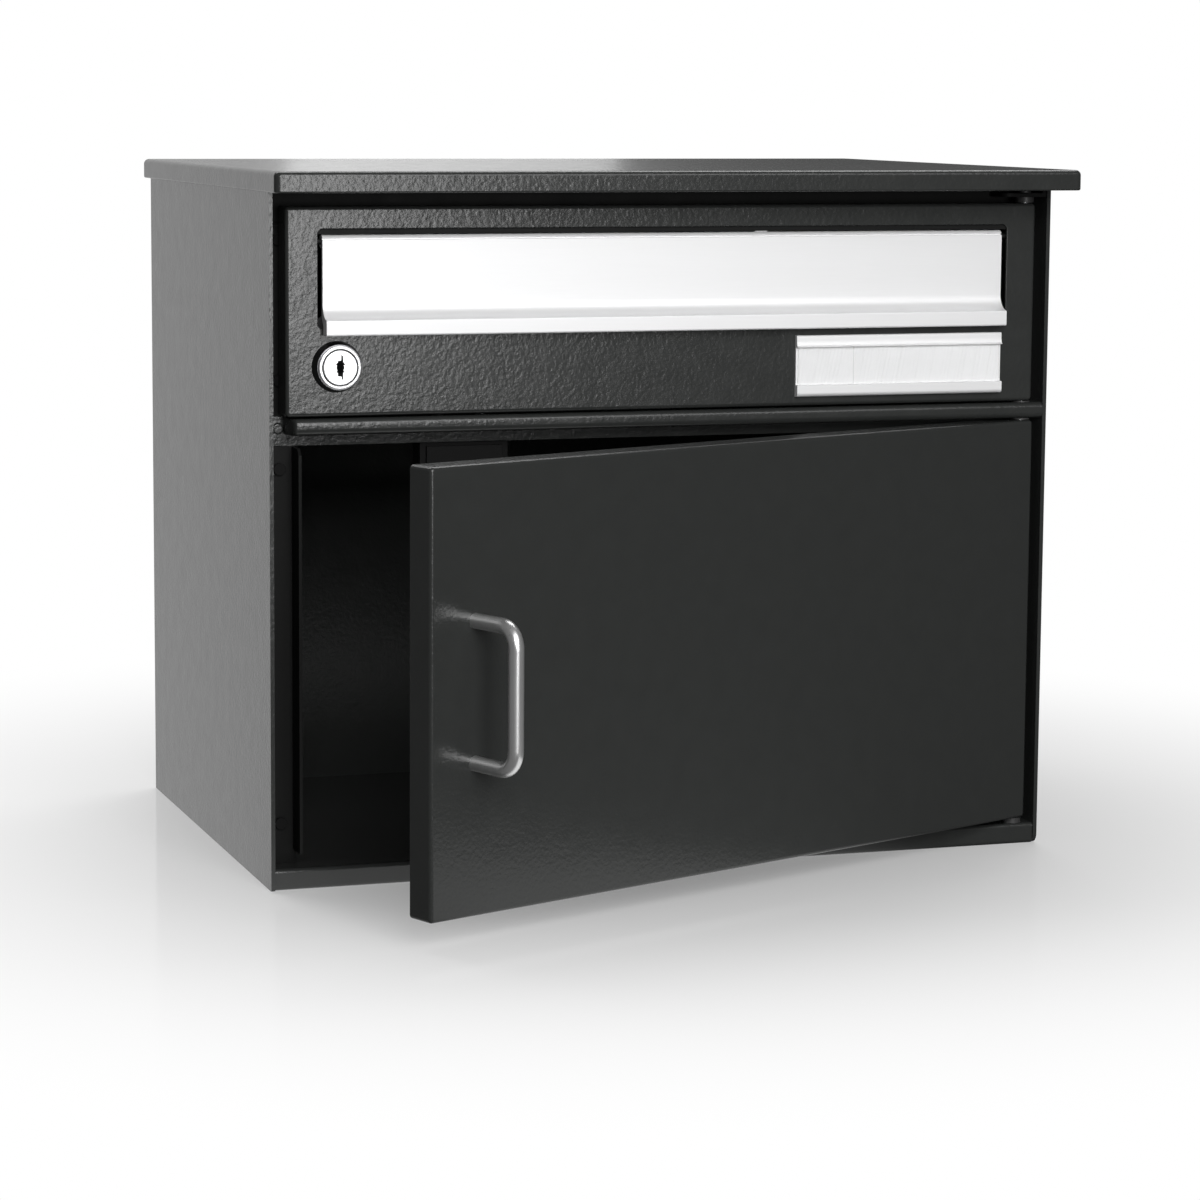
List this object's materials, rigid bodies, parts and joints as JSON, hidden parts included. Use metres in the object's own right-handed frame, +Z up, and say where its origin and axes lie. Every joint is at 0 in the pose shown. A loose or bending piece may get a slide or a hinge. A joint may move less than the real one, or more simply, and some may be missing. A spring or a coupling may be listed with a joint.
{
  "type": "letterbox with parcel compartment",
  "caption": "Folded-metal letterbox: a letter door with an inlet flap, name plate and cam lock over a side-hinged parcel door with a bow handle, under an overhanging roof.",
  "frame": {"origin": "centre of the cabinet's base, on the ground", "axes": "+X to the right facing the doors, +Y to the back, which goes to the wall, +Z up"},
  "size_m": [0.407, 0.4357, 0.342],
  "materials": {
    "powder_coat": "semi-gloss anthracite powder coat with fine orange peel",
    "inner_coat": "thin matt black coat on the parts behind the doors",
    "anodised_aluminium": "natural anodised extrusion, satin",
    "zinc_steel": "bright zinc plate",
    "stainless_steel": "brushed along the bar",
    "chrome": "polished chrome plate",
    "dark_chrome": "black chrome plate",
    "clear_window": "clear polished sheet",
    "white_card": "blank white insert card",
    "rubber": "soft self-adhesive buffer",
    "nylon": "moulded nylon bush",
    "housing_plastic": "moulded catch housing",
    "ferrite": "ground ferrite magnet"
  },
  "bodies": {
    "cabinet": {"left_side_panel": "powder_coat", "right_side_panel": "powder_coat", "back_panel": "powder_coat", "back_rivets": "zinc_steel", "floor_pan": "powder_coat", "divider_shelf": "powder_coat", "corner_plate": "powder_coat", "corner_rivet": "powder_coat", "parcel_jamb_left": "inner_coat", "parcel_jamb_right": "inner_coat", "letter_jamb_left": "inner_coat", "letter_jamb_right": "inner_coat", "top_rail": "inner_coat", "top_hinge_bracket": "inner_coat", "roof_cover": "powder_coat", "roof_screws": "zinc_steel", "hinge_bushes": "nylon", "door_buffers": "rubber", "magnet_housing": "housing_plastic", "catch_magnet": "ferrite", "magnet_screws": "zinc_steel"},
    "letter_door": {"letter_door_panel": "powder_coat", "letter_door_pins": "zinc_steel", "flap_brackets": "inner_coat", "slot_rain_cover": "inner_coat", "name_plate_holder": "anodised_aluminium", "name_plate_window": "clear_window", "name_label": "white_card", "notice_label": "white_card", "lock_rosette": "dark_chrome", "lock_housing": "chrome", "lock_nut": "zinc_steel"},
    "flap": {"slot_flap": "anodised_aluminium", "flap_axle": "inner_coat", "axle_clips": "inner_coat"},
    "lock": {"lock_plug": "chrome", "lock_cam": "zinc_steel", "cam_screw": "zinc_steel"},
    "parcel_door": {"parcel_door_panel": "powder_coat", "parcel_door_pins": "zinc_steel", "door_stiffener": "inner_coat", "handle_bow": "stainless_steel", "handle_screws": "zinc_steel", "strike_plate": "zinc_steel"}
  },
  "joints": [
    {"name": "letter_door_hinge", "type": "hinge", "parent": "cabinet", "child": "letter_door", "pos_m": [0.1885, -0.129, 0.276], "axis": [0, 0, 1], "range_deg": [0, 105]},
    {"name": "parcel_door_hinge", "type": "hinge", "parent": "cabinet", "child": "parcel_door", "pos_m": [0.1885, -0.129, 0.115], "axis": [0, 0, 1], "range_deg": [-22, 83]},
    {"name": "flap_hinge", "type": "hinge", "parent": "letter_door", "child": "flap", "pos_m": [0, -0.1311, 0.3086], "axis": [-1, 0, 0], "range_deg": [0, 70]},
    {"name": "lock_turn", "type": "hinge", "parent": "letter_door", "child": "lock", "pos_m": [-0.1674, -0.13, 0.25], "axis": [0, -1, 0], "range_deg": [0, 90]}
  ]
}
